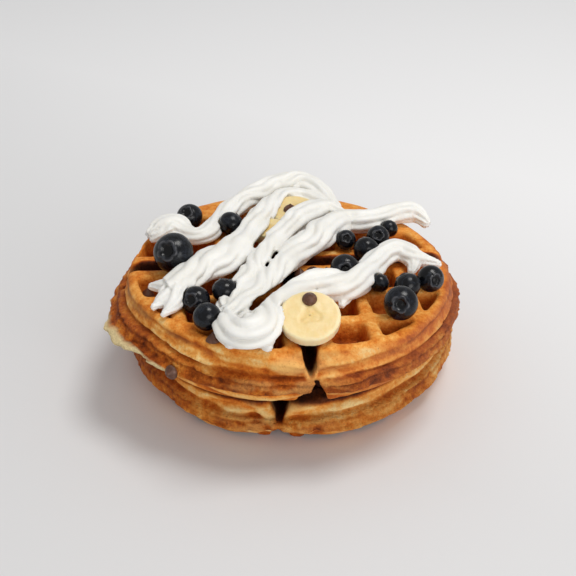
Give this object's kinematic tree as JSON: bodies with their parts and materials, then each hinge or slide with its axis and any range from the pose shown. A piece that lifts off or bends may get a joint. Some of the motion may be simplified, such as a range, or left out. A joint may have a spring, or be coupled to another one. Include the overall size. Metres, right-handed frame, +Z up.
{
  "type": "waffle",
  "caption": "stack of round deep-pocket waffles laid off-centre, topped with strands of piped whipped cream, blueberries, banana slices and chocolate chips",
  "frame": {"origin": "centre of the bounding box, on the plane that the lower waffle rests on", "axes": "+Z up through the stack, -Y towards the side with the fallen banana slice, +X to the right as seen from -Y"},
  "size_m": [0.1702, 0.1778, 0.0793],
  "materials": {
    "waffle_crust": "matte baked crust",
    "cream": "soft satin",
    "blueberry_skin": "waxy, partly wet",
    "banana_flesh": "moist satin"
  },
  "bodies": {
    "root": {"waffle_upper": "waffle_crust", "waffle_lower": "waffle_crust", "whipped_cream": "cream", "blueberry_01": "blueberry_skin", "blueberry_02": "blueberry_skin", "blueberry_03": "blueberry_skin", "blueberry_04": "blueberry_skin", "blueberry_05": "blueberry_skin", "blueberry_06": "blueberry_skin", "blueberry_07": "blueberry_skin", "blueberry_08": "blueberry_skin", "blueberry_09": "blueberry_skin", "blueberry_10": "blueberry_skin", "blueberry_11": "blueberry_skin", "blueberry_12": "blueberry_skin", "blueberry_13": "blueberry_skin", "blueberry_14": "blueberry_skin", "blueberry_15": "blueberry_skin", "banana_slice_01": "banana_flesh", "banana_slice_02": "banana_flesh", "banana_slice_03": "banana_flesh"}
  },
  "joints": []
}
